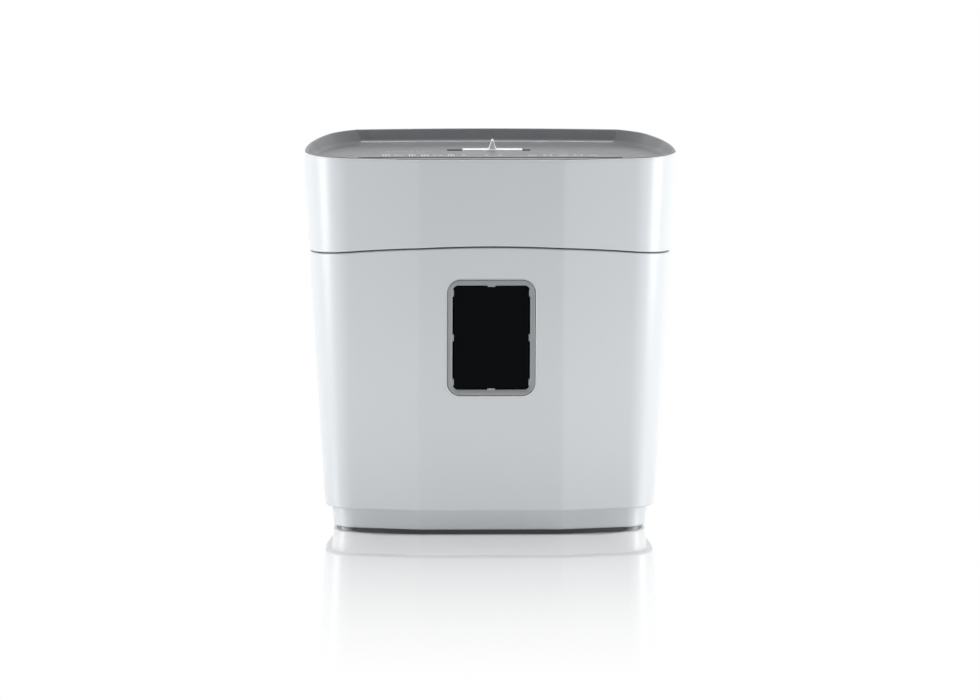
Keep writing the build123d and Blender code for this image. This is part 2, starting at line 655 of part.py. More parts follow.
def interlock_switch():
    x = LOCK_SPOT[0]
    y = LOCK_SPOT[1]
    case = block((x + 5, x + 11), (y - 10, y + 8), (FLOOR_Z[1], 254))
    return case + block((x - 3, x + 6), (y - 2.5, y + 2.5), (248.2, 248.8))


def sensor_switch():
    ear = LEVER_X + 6.2
    return block((LEVER_X - 2.6, LEVER_X + 2.6), (-21.6, -13), (289.5, 300.6)) + block(
        (LEVER_X - 2.6, ear + 2), (-21.6, -19.6), (289.5, 300.6))


# ---------------------------------------------------------------- small moving pieces
def switch_slider():
    """The white slider on the tray, with a concave fin to push and a stem to the switch below."""
    floor = tray_z(SWITCH_Y)
    top = floor + 0.9
    plate_x = (SLIDER_X - SLIDER_HALF, SLIDER_X + SLIDER_HALF)
    plate = block(plate_x, (SWITCH_Y - 4.9, SWITCH_Y + 4.9), (floor - 2.0, top))
    plate += block((SLIDER_X - 2.6, SLIDER_X + 2.6), (SWITCH_Y - 2, SWITCH_Y + 2), (303, floor - 1))
    root = 3.6
    waist = 1.85
    tip = 0.8
    middle = (top + FIN_TOP) / 2
    sketch = make_face([
        Line((-root, top - 0.4), (root, top - 0.4)),
        Line((root, top - 0.4), (root, top)),
        ThreePointArc((root, top), (waist, middle), (tip, FIN_TOP)),
        Line((tip, FIN_TOP), (-tip, FIN_TOP)),
        ThreePointArc((-tip, FIN_TOP), (-waist, middle), (-root, top)),
        Line((-root, top), (-root, top - 0.4)),
    ])
    return plate + Pos(SLIDER_X, 0, 0) * extrude(Plane.XZ.offset(-SWITCH_Y - 3.8) * sketch, 7.6)


def sensor_lever():
    """A flag that stands across the feed slot and swings down when paper meets it."""
    y = LEVER_PIVOT[0]
    z = LEVER_PIVOT[1]
    corners = [(y + 2, z + 2), (y - 2, z + 2.4), (-39.6, 297.2), (-40.6, 294.8), (-38.6, 294.2), (y, z - 2.6),
               (y + 11, z - 2), (y + 11, z - 0.4)]
    lever = slab_x(corners, (LEVER_X - 2, LEVER_X + 2)) + rod_x(2.6, (LEVER_X - 2, LEVER_X + 2), LEVER_PIVOT)
    return lever - rod_x(1.0 + FREE, (LEVER_X - 3, LEVER_X + 3), LEVER_PIVOT)


def interlock_plunger():
    stem = rod_z(2.0, (FLOOR_Z[0] - PLUNGER_REACH, 245.5), LOCK_SPOT)
    return stem + rod_z(3.6, (FLOOR_Z[1] + 0.3, FLOOR_Z[1] + 2), LOCK_SPOT)


def interlock_spring():
    """A light coil between the plunger's collar and the switch."""
    wire = 0.35
    low = FLOOR_Z[1] + 2.0 + wire
    high = 247.6
    path = Pos(LOCK_SPOT[0], LOCK_SPOT[1], low) * Helix(pitch=2.1, height=high - low, radius=3.0)
    start = path @ 0
    section = Plane(origin=start, z_dir=path % 0) * Circle(wire)
    return sweep(section, path)


# ---------------------------------------------------------------- assembly
def build():
    front = FRONT_AXIS
    rear = REAR_AXIS
    PARTS.update({
        "waste_bin": waste_bin(),
        "window_frame": window_frame(),
        "window_pane": window_pane(),
        "rubber_feet": rubber_feet(),
        "head_shell": head_shell(),
        "top_cover": top_cover(),
        "head_base": head_base(),
        "base_screws": base_screws(),
        "cord_gland": cord_gland(),
        "side_plate_left": side_plate_left(),
        "side_plate_right": side_plate_right(),
        "roller_bushes": roller_bushes(),
        "tie_rods": tie_rods(),
        "tie_rod_nuts": tie_rod_nuts(),
        "front_stripper_comb": front_stripper_comb(),
        "rear_stripper_comb": rear_stripper_comb(),
        "feed_chute": feed_chute(),
        "front_cutter_shaft": cutter_shaft(front, FRONT_DISC_X, PLATE_X[1] + 2.5),
        "front_cutter_discs": cutter_discs(FRONT_DISC_X, front, 1),
        "front_cutter_spacers": cutter_spacers(FRONT_DISC_X, front),
        "front_sync_gear": gear(SYNC_TEETH, SYNC_MODULE, SYNC_X, front, 0.0, JOURNAL + 0.02),
        "rear_cutter_shaft": cutter_shaft(rear, REAR_DISC_X, LAYER_3[1] + 0.3),
        "rear_cutter_discs": cutter_discs(REAR_DISC_X, rear, -1),
        "rear_cutter_spacers": cutter_spacers(REAR_DISC_X, rear),
        "rear_sync_gear": gear(SYNC_TEETH, SYNC_MODULE, SYNC_X, rear,
                               mating_phase(SYNC_TEETH, 0.0, SYNC_TEETH, 0.0), JOURNAL + 0.02),
        "roller_drive_gear": gear(DRIVE_TEETH[0], DRIVE_MODULE, LAYER_3, rear, DRIVE_PHASE, JOURNAL + 0.02),
        "second_reduction_gear": compound_gear(SECOND_TEETH[0], LAYER_2, DRIVE_TEETH[1], LAYER_3,
                                               (SECOND_MODULE, DRIVE_MODULE), SECOND_AXIS,
                                               (SECOND_BIG_PHASE, SECOND_SMALL_PHASE)),
        "first_reduction_gear": compound_gear(FIRST_TEETH[0], LAYER_1, SECOND_TEETH[1], LAYER_2,
                                              (FIRST_MODULE, SECOND_MODULE), FIRST_AXIS,
                                              (FIRST_BIG_PHASE, FIRST_SMALL_PHASE)),
        "motor_pinion": gear(FIRST_TEETH[1], FIRST_MODULE, LAYER_1, MOTOR_AXIS, PINION_PHASE, 2.52),
        "motor_rotor": motor_rotor(),
        "motor_can": motor_can(),
        "motor_end_cap": motor_end_cap(),
        "motor_screws": motor_screws(),
        "motor_lead_red": motor_lead(MOTOR_AXIS[0] - 12, 29.0),
        "motor_lead_black": motor_lead(MOTOR_AXIS[0] + 12, 39.0),
        "gear_axles": gear_axles(),
        "gear_cover": gear_cover(),
        "gear_cover_screws": gear_cover_screws(),
        "control_board": control_board(),
        "board_screws": board_screws(),
        "terminal_block": terminal_block(),
        "relay": block((-60, -40), (20, 36), (BOARD_Z[1], BOARD_Z[1] + 16)),
        "capacitor": capacitor(),
        "mode_switch_block": mode_switch_block(),
        "switch_slider": switch_slider(),
        "interlock_switch": interlock_switch(),
        "interlock_plunger": interlock_plunger(),
        "interlock_spring": interlock_spring(),
        "sensor_switch": sensor_switch(),
        "sensor_lever": sensor_lever(),
        "sensor_pin": rod_x(1.0, (LEVER_X - 6.2, LEVER_X + 6.2), LEVER_PIVOT),
    })


def save():
    os.makedirs("parts", exist_ok=True)
    for name, shape in PARTS.items():
        solids = shape if isinstance(shape, list) else [shape]
        pieces = [solid for item in solids for solid in item.solids()]
        export_step(Compound(children=pieces), f"parts/{name}.step")


build()
save()
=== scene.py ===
"""Looks of the paper shredder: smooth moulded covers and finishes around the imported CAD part.

Millimetres until a mesh is written; +X is the operator's right, +Y the back, +Z up.
"""

import json
import math

import bmesh
import bpy
from mathutils import Matrix, Vector


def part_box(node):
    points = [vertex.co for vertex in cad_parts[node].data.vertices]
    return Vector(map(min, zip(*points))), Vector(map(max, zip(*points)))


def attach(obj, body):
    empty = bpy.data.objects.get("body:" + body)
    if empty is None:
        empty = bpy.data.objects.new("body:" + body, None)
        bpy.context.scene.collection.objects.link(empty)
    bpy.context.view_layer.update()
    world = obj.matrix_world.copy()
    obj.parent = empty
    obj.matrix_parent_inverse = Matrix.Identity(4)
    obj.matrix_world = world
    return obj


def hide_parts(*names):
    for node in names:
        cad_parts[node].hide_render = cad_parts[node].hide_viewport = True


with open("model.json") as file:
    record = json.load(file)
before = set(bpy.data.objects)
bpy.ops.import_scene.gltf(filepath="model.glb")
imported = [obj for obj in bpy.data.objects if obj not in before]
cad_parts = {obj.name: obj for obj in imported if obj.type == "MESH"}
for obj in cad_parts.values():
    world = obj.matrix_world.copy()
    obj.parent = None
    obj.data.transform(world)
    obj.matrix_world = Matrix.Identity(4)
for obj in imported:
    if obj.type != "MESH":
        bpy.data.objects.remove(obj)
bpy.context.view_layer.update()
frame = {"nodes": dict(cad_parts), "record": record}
MM = 0.001


# ---------------------------------------------------------------- sizes, read from the frame
def box_mm(node):
    low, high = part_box(node)
    return low / MM, high / MM


SHELL_LOW, SHELL_HIGH = box_mm("head_shell")
RIM_Z = box_mm("top_cover")[1].z
FOOT_Z = box_mm("waste_bin")[0].z
FRAME_LOW, FRAME_HIGH = box_mm("window_frame")
SLIDER_LOW, SLIDER_HIGH = box_mm("switch_slider")

STEP_Z = 20.0                                         # lower edge of the bin's outer wall
SIDE_LEAN, FRONT_LEAN, BACK_LEAN = 17.7, 10.4, 5.0    # how far each wall comes in down to STEP_Z
SIDE_MARGIN = 0.1                                     # the rim's outline is this much wider than the shell
HALF_TOP = SHELL_HIGH.x + SIDE_MARGIN
HALF_LOW = HALF_TOP - SIDE_LEAN
FRONT_TOP = SHELL_LOW.y
FRONT_LOW = FRONT_TOP + FRONT_LEAN
BACK_TOP = SHELL_HIGH.y
BACK_LOW = BACK_TOP - BACK_LEAN
CORNER_TOP, CORNER_LOW = 45.0, 28.0                   # front corner radius at the rim and at STEP_Z
FACET_HALF = 60.5                                     # half the width of the front's flat middle facet
FACET_TURN = math.radians(10)                         # how far the side facets turn back
SIDE_DROP = 16.5                                      # how far the bowed side comes in by its rear end
SIDE_END = 52.0                                       # y of that rear end
CREASE_TOP, CREASE_LOW = 113.0, 98.0                  # half the distance between the rear creases
BACK_BOW, REAR_BULGE = 7.0, 0.088                     # bow of the back wall; rear corner's bulge per chord
WALL = 2.5
SEAM_Z, SEAM_RADIUS, SEAM_HALF_GAP = 247.5, 1200.0, 0.6
TRAY_DEPTH, TRAY_FALL = 4.0, 0.041
SLOT_Y, SLOT_LENGTH, SLOT_WIDTH = -38.0, 224.0, 7.0
SWITCH_Y = (SLIDER_LOW.y + SLIDER_HIGH.y) / 2
SLIDER_X = (SLIDER_LOW.x + SLIDER_HIGH.x) / 2
SWITCH_SLOT = (-35.6, 35.4)
SWITCH_WIDTH = 11.0


def at_height(low, high, z):
    """A size that goes evenly from low at STEP_Z to high at the rim."""
    return low + (high - low) * (z - STEP_Z) / (RIM_Z - STEP_Z)


def seam_z(x):
    """Middle of the arched seam between bin and head."""
    return SEAM_Z - SEAM_RADIUS + math.sqrt(SEAM_RADIUS ** 2 - x * x)


def tray_z(y):
    """Floor of the sunken tray, which falls towards the back."""
    return RIM_Z - TRAY_DEPTH - TRAY_FALL * (y - FRONT_TOP)


# ---------------------------------------------------------------- plan outline of the body
FLAT_POINTS, CREASE_POINTS, FACET_POINTS, CORNER_POINTS = 9, 4, 10, 30
SIDE_POINTS, REAR_POINTS, BACK_POINTS = 26, 26, 18
CREASE_SOFT = 1.6                                     # the front crease is softened this far each way
SIDE_END_SHARE, CREASE_SHARE = 0.4, 0.5               # how much of an inset moves the rear points inwards


def arc_through(a, m, b, count):
    """Points on the circle through three points, from a to b, the last one left out."""
    (ax, ay), (mx, my), (bx, by) = a, m, b
    d = 2 * (ax * (my - by) + mx * (by - ay) + bx * (ay - my))
    a2, m2, b2 = ax * ax + ay * ay, mx * mx + my * my, bx * bx + by * by
    ux = (a2 * (my - by) + m2 * (by - ay) + b2 * (ay - my)) / d
    uy = (a2 * (bx - mx) + m2 * (ax - bx) + b2 * (mx - ax)) / d
    radius = math.hypot(ax - ux, ay - uy)
    start = math.atan2(ay - uy, ax - ux)
    turn = math.atan2(by - uy, bx - ux) - start
    turn = (turn + math.pi) % (2 * math.pi) - math.pi
    angles = [start + turn * i / count for i in range(count)]
    return [(ux + radius * math.cos(angle), uy + radius * math.sin(angle)) for angle in angles]


def line(a, b, count):
    """Points on a straight line from a to b, the last one left out."""
    return [(a[0] + (b[0] - a[0]) * i / count, a[1] + (b[1] - a[1]) * i / count) for i in range(count)]


def half_outline(z, inset, front_extra=0.0):
    """Right half of the outline, from the middle of the front to the middle of the back."""
    half = at_height(HALF_LOW, HALF_TOP, z) - inset
    front = at_height(FRONT_LOW, FRONT_TOP, z) + inset + front_extra
    back = at_height(BACK_LOW, BACK_TOP, z) - inset
    corner = at_height(CORNER_LOW, CORNER_TOP, z) - inset
    crease = FACET_HALF - inset * math.tan(FACET_TURN / 2)
    tangent = corner * math.tan((math.pi / 2 - FACET_TURN) / 2)
    meet_y = front + (half - crease) * math.tan(FACET_TURN)
    start = (half - tangent * math.cos(FACET_TURN), meet_y - tangent * math.sin(FACET_TURN))
    end_y = meet_y + tangent
    soft = CREASE_SOFT
    before = (crease - soft, front)
    after = (crease + soft * math.cos(FACET_TURN), front + soft * math.sin(FACET_TURN))
    bend = (crease, front + soft * math.sin(FACET_TURN) / 4)
    points = line((0, front), before, FLAT_POINTS)
    points += arc_through(before, bend, after, CREASE_POINTS)
    points += line(after, start, FACET_POINTS)
    for i in range(CORNER_POINTS):
        angle = FACET_TURN + (math.pi / 2 - FACET_TURN) * i / CORNER_POINTS
        points.append((half - corner + corner * math.sin(angle), end_y - corner * math.cos(angle)))
    rear_y = SIDE_END - SIDE_END_SHARE * inset
    length = rear_y - end_y
    side_radius = (length ** 2 + SIDE_DROP ** 2) / (2 * SIDE_DROP)
    turn = math.asin(length / side_radius)
    for i in range(SIDE_POINTS):
        angle = turn * i / SIDE_POINTS
        points.append((half - side_radius * (1 - math.cos(angle)), end_y + side_radius * math.sin(angle)))
    rear = (half - SIDE_DROP, rear_y)
    crease_back = (at_height(CREASE_LOW, CREASE_TOP, z) - CREASE_SHARE * inset, back - BACK_BOW)
    chord = math.dist(rear, crease_back)
    normal = ((crease_back[1] - rear[1]) / chord, -(crease_back[0] - rear[0]) / chord)
    middle = tuple((rear[i] + crease_back[i]) / 2 + normal[i] * REAR_BULGE * chord for i in (0, 1))
    points += arc_through(rear, middle, crease_back, REAR_POINTS)
    half_back = arc_through(crease_back, (0, back), (-crease_back[0], crease_back[1]), 2 * BACK_POINTS)
    return points + half_back[:BACK_POINTS] + [(0, back)]


def outline(z, inset, front_extra=0.0):
    """The whole outline, anticlockwise from the middle of the front."""
    right = half_outline(z, inset, front_extra)
    return right + [(-x, y) for x, y in reversed(right[1:-1])]


COUNT = len(outline(RIM_Z, 0))


def ring(inset, height, front_extra=0.0):
    """One loop of points. height is a number, or a function of x and y met in two passes."""
    if not callable(height):
        return [(x, y, height) for x, y in outline(height, inset, front_extra)]
    loop = [(x, y, height(x, y)) for x, y in outline(SEAM_Z, inset, front_extra)]
    outlines = {}
    for _ in range(2):
        better = []
        for i, (x, y, z) in enumerate(loop):
            level = round(z, 2)
            if level not in outlines:
                outlines[level] = outline(level, inset, front_extra)
            x, y = outlines[level][i]
            better.append((x, y, height(x, y)))
        loop = better
    return loop


# ---------------------------------------------------------------- mesh helpers
def finish_mesh(name, bm, smooth=True):
    """Turns a mesh in millimetres into an object in metres."""
    mesh = bpy.data.meshes.new(name)
    bmesh.ops.recalc_face_normals(bm, faces=bm.faces)
    bm.to_mesh(mesh)
    bm.free()
    for polygon in mesh.polygons:
        polygon.use_smooth = smooth
    mesh.transform(Matrix.Scale(MM, 4))
    piece = bpy.data.objects.new(name, mesh)
    bpy.context.scene.collection.objects.link(piece)
    return piece


def skin_rings(bm, rings, close=False):
    """Quads between loops of equal length; close joins the last loop to the first."""
    loops = [[bm.verts.new(p) for p in points] for points in rings]
    pairs = list(zip(loops, loops[1:]))
    if close:
        pairs.append((loops[-1], loops[0]))
    for a, b in pairs:
        size = len(a)
        for i in range(size):
            j = (i + 1) % size
            bm.faces.new((a[i], a[j], b[j], b[i]))
    return loops


def lofted(name, rings, close=False):
    """A solid through the rings: closed on itself, or capped at both ends."""
    bm = bmesh.new()
    loops = skin_rings(bm, rings, close)
    if not close:
        bm.faces.new(loops[0])
        bm.faces.new(loops[-1])
    return finish_mesh(name, bm)


def rounded(width, height, corner, steps=10):
    """A rounded rectangle, anticlockwise, about the middle."""
    points = []
    for side in range(4):
        cx = (width / 2 - corner) * (1, -1, -1, 1)[side]
        cy = (height / 2 - corner) * (1, 1, -1, -1)[side]
        for i in range(steps + 1):
            angle = math.pi / 2 * (side + i / steps)
            points.append((cx + corner * math.cos(angle), cy + corner * math.sin(angle)))
    return points


def cut(piece, cutter):
    """Takes the cutter's solid away from the piece, for good."""
    modifier = piece.modifiers.new("cut", "BOOLEAN")
    modifier.operation = "DIFFERENCE"
    modifier.solver = "EXACT"
    modifier.object = cutter
    bake(piece)
    bpy.data.objects.remove(cutter)


def bake(piece):
    """Turns the piece's modifiers into its mesh."""
    graph = bpy.context.evaluated_depsgraph_get()
    graph.update()
    mesh = bpy.data.meshes.new_from_object(piece.evaluated_get(graph))
    piece.modifiers.clear()
    old = piece.data
    piece.data = mesh
    bpy.data.meshes.remove(old)
    for polygon in mesh.polygons:
        polygon.use_smooth = True


def even_normals(piece, angle=50):
    """Flat faces stay flat beside small rounded edges."""
    piece.data.set_sharp_from_angle(angle=math.radians(angle))
    modifier = piece.modifiers.new("normals", "WEIGHTED_NORMAL")
    modifier.keep_sharp = True
    modifier.weight = 100
    return piece


def joined(name, pieces):
    """One mesh from several."""
    bm = bmesh.new()
    for piece in pieces:
        bm.from_mesh(piece.data)
        bpy.data.objects.remove(piece)
    mesh = bpy.data.meshes.new(name)
    bm.to_mesh(mesh)
    bm.free()
    piece = bpy.data.objects.new(name, mesh)
    bpy.context.scene.collection.objects.link(piece)
    for polygon in mesh.polygons:
        polygon.use_smooth = True
    return piece


def block(name, low, high, radius=0.0):
    """A block between two corners, with rounded edges if a radius is given."""
    bm = bmesh.new()
    bmesh.ops.create_cube(bm, size=1)
    for vert in bm.verts:
        vert.co = Vector((low[i] + (high[i] - low[i]) * (vert.co[i] + 0.5) for i in range(3)))
    if radius:
        bmesh.ops.bevel(bm, geom=bm.edges[:], offset=radius, segments=3, profile=0.5, affect="EDGES")
    return finish_mesh(name, bm, smooth=radius > 0)


def edge_arc(radius, steps):
    """(inwards, along) offsets of a quarter round, from the wall to the edge face."""
    return [(radius * (1 - math.cos(math.pi / 2 * i / steps)), radius * math.sin(math.pi / 2 * i / steps))
            for i in range(steps + 1)]


# ---------------------------------------------------------------- the front's leaning plane
WINDOW_Z = (FRAME_LOW.z + FRAME_HIGH.z) / 2
LEAN = math.atan((FRONT_LOW - FRONT_TOP) / (RIM_Z - STEP_Z))


def on_front(x, up, out):
    """A point given in the plane of the bin's front, about the window's middle."""
    y = at_height(FRONT_LOW, FRONT_TOP, WINDOW_Z)
    y -= up * math.sin(LEAN) + out * math.cos(LEAN)
    return (x, y, WINDOW_Z + up * math.cos(LEAN) - out * math.sin(LEAN))


def front_loft(name, levels, close=False):
    """levels are (width, height, corner, out) of rounded loops on the front."""
    rings = [[on_front(x, up, out) for x, up in rounded(width, height, corner)]
             for width, height, corner, out in levels]
    return lofted(name, rings, close=close)


# ---------------------------------------------------------------- waste bin
WINDOW_SIZE = (73.6, 99.0, 11.0)                      # the bezel's width, height and corner radius
SIGHT_SIZE = (65.4, 89.6, 5.0)                        # the clear opening inside it
PANE_SIZE = (63.6, 87.8, 4.2)
TAB_LOW, TAB_HIGH = (76.0, 67.0, 212.0), (84.0, 88.0, 227.6)
PLINTH_BACK = 3.5                                     # the plinth's front stands this much further back
LIP_ROUND, BIN_RIM_ROUND = 1.5, 1.3                   # roundings at the wall's lower and upper edges
WALL_FOOT = STEP_Z + 2.4                              # where the plain wall begins
WALL_TOP_GAP = 1.6                                    # and how far below the seam gap it ends
WALL_ROWS = 14
RECESS_GAP, RECESS_ROUND = 0.7, 0.8                   # opening wider than the bezel; rounding of its edge


def bin_top(gap):
    """A height that follows the bin's upper edge at gap below it."""
    return lambda x, y: seam_z(x) - SEAM_HALF_GAP - gap


def bin_row(share):
    """A height at a share of the plain wall."""
    return lambda x, y: WALL_FOOT + (seam_z(x) - SEAM_HALF_GAP - WALL_TOP_GAP - WALL_FOOT) * share


def make_bin():
    """The bin's shell with its plinth, the tab for the head's interlock, and a bead round the window."""
    plinth = ((8.0, STEP_Z - 1.0), (8.8, FOOT_Z), (6.9, FOOT_Z), (6.3, FOOT_Z + 0.6), (6.2, FOOT_Z + 2.0),
              (5.6, STEP_Z - 3.0), (5.5, STEP_Z - 0.5))
    rings = [ring(inset, z, PLINTH_BACK) for inset, z in plinth]
    rings += [ring(5.1, STEP_Z, PLINTH_BACK - 0.3), ring(2.8, STEP_Z), ring(LIP_ROUND, STEP_Z)]
    for inwards, along in reversed(edge_arc(LIP_ROUND, 5)):
        rings.append(ring(inwards, STEP_Z + LIP_ROUND - along))
    rings += [ring(0, bin_row(row / WALL_ROWS)) for row in range(WALL_ROWS + 1)]
    for inwards, along in edge_arc(BIN_RIM_ROUND, 5)[1:]:
        rings.append(ring(inwards, bin_top(BIN_RIM_ROUND - along)))
    rings += [ring(WALL - 0.6, bin_top(0)), ring(WALL, bin_top(0.6)), ring(WALL, bin_top(8))]
    inner_floor = STEP_Z + 3.5
    rings += [ring(WALL, 120.0), ring(WALL, 27.0), ring(3.6, inner_floor + 0.9)]
    rings += [ring(6.5, inner_floor), ring(9.5, inner_floor)]
    shell = lofted("bin_shell", rings)
    cut(shell, window_cutter())
    tab = block("bin_tab", TAB_LOW, TAB_HIGH, 0.5)
    width, height, corner = WINDOW_SIZE
    bead_section = ((0.9, -0.5), (0.9, 0.12), (1.3, 0.3), (1.9, 0.3), (2.5, 0.12), (2.9, -0.3), (2.9, -0.5))
    bead = [(width + wider, height + wider, corner + wider / 2, out) for wider, out in bead_section]
    return joined("bin_whole", [shell, tab, front_loft("window_bead", bead, close=True)])


def window_cutter():
    """The opening for the bezel, its outer edge rounded."""
    width, height = (size + RECESS_GAP for size in WINDOW_SIZE[:2])
    corner = WINDOW_SIZE[2] + 0.3
    levels = [(width, height, corner, -6.0), (width, height, corner, -RECESS_ROUND)]
    for inwards, along in edge_arc(RECESS_ROUND, 4)[1:]:
        levels.append((width + 2 * inwards, height + 2 * inwards, corner + inwards, along - RECESS_ROUND))
    levels.append((width + 2 * RECESS_ROUND, height + 2 * RECESS_ROUND, corner + RECESS_ROUND, 3.0))
    return front_loft("window_cutter", levels)


# ---------------------------------------------------------------- window bezel and pane
BEZEL_BACK, BEZEL_ROUND, BEZEL_FACE = -3.9, 0.6, 0.5  # how far back it reaches, its outer rounding, its face
BEZEL_INSIDE = ((4.6, BEZEL_FACE), (3.6, 0.35), (0.8, -0.3), (0.0, -0.7), (0.0, BEZEL_BACK))
CATCH_DEEP, CATCH_IN, CATCH_SPREAD = 1.8, 0.25, 0.86
CATCHES = [(0.0, up, 6.4, True) for up in (1.0, -1.0)]
CATCHES += [(side, up, 6.0, False) for side in (-1.0, 1.0) for up in (-CATCH_SPREAD, 0.0, CATCH_SPREAD)]


def make_window_frame():
    """The bezel and the small catches that hold the pane."""
    width, height, corner = WINDOW_SIZE
    inner_w, inner_h, inner_c = SIGHT_SIZE
    shoulder = BEZEL_FACE - BEZEL_ROUND
    levels = [(width, height, corner, BEZEL_BACK), (width, height, corner, shoulder)]
    for inwards, along in edge_arc(BEZEL_ROUND, 4):
        levels.append((width - 2 * inwards, height - 2 * inwards, corner - inwards, shoulder + along))
    for wider, out in BEZEL_INSIDE:
        levels.append((inner_w + wider, inner_h + wider, inner_c + wider / 2, out))
    pieces = [front_loft("bezel", levels, close=True)]
    for index, (side, up, length, lying) in enumerate(CATCHES):
        size = (length, CATCH_DEEP) if lying else (CATCH_DEEP, length)
        x = side * (inner_w / 2 - CATCH_IN)
        z = up * (inner_h / 2 - CATCH_IN)
        catch = []
        for out, inset in ((-1.1, 0), (-0.55, 0), (-0.4, 0.15)):
            loop = rounded(size[0] - 2 * inset, size[1] - 2 * inset, 0.5)
            catch.append([on_front(x + px, z + pz, out) for px, pz in loop])
        pieces.append(lofted(f"catch{index}", catch))
    return even_normals(joined("window_bezel", pieces), 60)


def make_pane():
    """The smoked pane, its front edge eased."""
    width, height, corner = PANE_SIZE
    levels = [(width - 2 * inset, height - 2 * inset, corner - inset, out)
              for inset, out in ((0.0, -3.6), (0.0, -1.75), (0.15, -1.4), (0.6, -1.15))]
    return even_normals(front_loft("smoked_pane", levels))


# ---------------------------------------------------------------- head shell
LIP = 0.9                                             # the plain wall starts this far above the seam gap
SHELL_FOOT_ROUND = 0.7
SHELL_RIM_ROUND, SHELL_RIM_TALL = 1.05, 1.81          # top edge's rounding, and its height over its depth
SHELL_WALL_TOP = RIM_Z - 3.0
SHELL_ROWS = 6
LEDGE_IN, LEDGE_DEEP = 1.1, 2.7                       # the ledge the top cover's flange lies on
SHELL_INSIDE_FOOT = 262.0
VENT_X, VENT_PITCH_X, VENT_COLUMNS, VENT_HALF = 12, 17, 5, 7
VENT_Z, VENT_PITCH_Z, VENT_ROWS, VENT_TALL = 266, 8, 4, 3
GLAND_HOLE = 5.6


def make_head_shell():
    """The white shell of the head, with the vents and the gland's hole in its back."""
    def bottom(gap):
        return lambda x, y: seam_z(x) + SEAM_HALF_GAP + gap

    def row(share):
        return lambda x, y: (seam_z(x) + SEAM_HALF_GAP + LIP) * (1 - share) + SHELL_WALL_TOP * share

    rings = [ring(WALL, bottom(0.5)), ring(WALL - 0.5, bottom(0))]
    for inwards, along in reversed(edge_arc(SHELL_FOOT_ROUND, 4)):
        rings.append(ring(inwards, bottom(SHELL_FOOT_ROUND - along)))
    rings += [ring(0, row(step / SHELL_ROWS)) for step in range(SHELL_ROWS + 1)]
    for inwards, along in edge_arc(SHELL_RIM_ROUND, 6):
        rings.append(ring(inwards, RIM_Z - 2.5 + SHELL_RIM_TALL * along))
    rings += [ring(LEDGE_IN, RIM_Z - 0.7), ring(LEDGE_IN, RIM_Z - LEDGE_DEEP), ring(WALL, RIM_Z - LEDGE_DEEP)]
    rings += [ring(WALL, RIM_Z - 20), ring(WALL, SHELL_INSIDE_FOOT)]
    shell = lofted("head_skin", rings, close=True)
    vents = []
    for z in (VENT_Z + VENT_PITCH_Z * i for i in range(VENT_ROWS)):
        for x in (VENT_X + VENT_PITCH_X * i for i in range(VENT_COLUMNS)):
            vents.append(block("vent", (x - VENT_HALF, 76, z), (x + VENT_HALF, 100, z + VENT_TALL)))
    cut(shell, joined("vents", vents))
    gland_low, gland_high = box_mm("cord_gland")
    middle_x, middle_z = (gland_low.x + gland_high.x) / 2, (gland_low.z + gland_high.z) / 2
    angles = [2 * math.pi * i / 48 for i in range(48)]
    hole = [[(middle_x + GLAND_HOLE * math.cos(a), y, middle_z + GLAND_HOLE * math.sin(a)) for a in angles]
            for y in (75, 105)]
    cut(shell, lofted("gland_cutter", hole))
    return even_normals(shell)


# ---------------------------------------------------------------- top cover
FLANGE_IN, FLANGE_THICK, FLANGE_ROUND = 1.3, 2.6, 0.5
SKIRT_IN, SKIRT_DEEP = WALL + 0.2, 15                 # the skirt that centres the cover in the shell
TRAY_THICK, TRAY_FILLET = 2.2, 3.4
TRAY_WALL_FOOT = 4.9                                  # inset of the tray's underside where its wall begins
BRINK_IN, BRINK_OVER = 1.4, 4                         # a point of the wall's line: inset, height over the rim
SLOPE_RUN, SLOPE_DROP = 9.2, 18


def tray_wall_inset(z):
    """How far the tray's sloping wall stands inside the outline."""
    return BRINK_IN + (RIM_Z + BRINK_OVER - z) / SLOPE_DROP * SLOPE_RUN


def tray_ring(share):
    """A loop on the fillet between the tray's wall and its floor, from 0 on the wall to 1 on the floor."""
    points = []
    base = outline(RIM_Z - 6, tray_wall_inset(RIM_Z - 6))
    outlines = {}

    def at(i, z, inset):
        key = (round(z, 2), round(inset, 2))
        if key not in outlines:
            outlines[key] = outline(*key)
        return outlines[key][i]

    for i in range(COUNT):
        foot_z = tray_z(base[i][1])
        for _ in range(2):
            foot_z = tray_z(at(i, foot_z, tray_wall_inset(foot_z))[1])
        high = foot_z + TRAY_FILLET
        wall = (*at(i, high, tray_wall_inset(high)), high)
        corner = (*at(i, foot_z, tray_wall_inset(foot_z)), foot_z)
        x, y = at(i, foot_z, tray_wall_inset(foot_z) + TRAY_FILLET)
        floor = (x, y, tray_z(y))
        weights = ((1 - share) ** 2, 2 * share * (1 - share), share * share)
        points.append([sum(w * end[k] for w, end in zip(weights, (wall, corner, floor))) for k in range(3)])
    return points


def tray_cutter(name, middle, levels):
    """A slot through the tray: levels are (length, width, corner, height over the tray's floor)."""
    x0, y0 = middle
    rings = [[(x0 + x, y0 + y, tray_z(y0) - TRAY_FALL * y + z) for x, y in rounded(length, width, corner, 6)]
             for length, width, corner, z in levels]
    return lofted(name, rings)


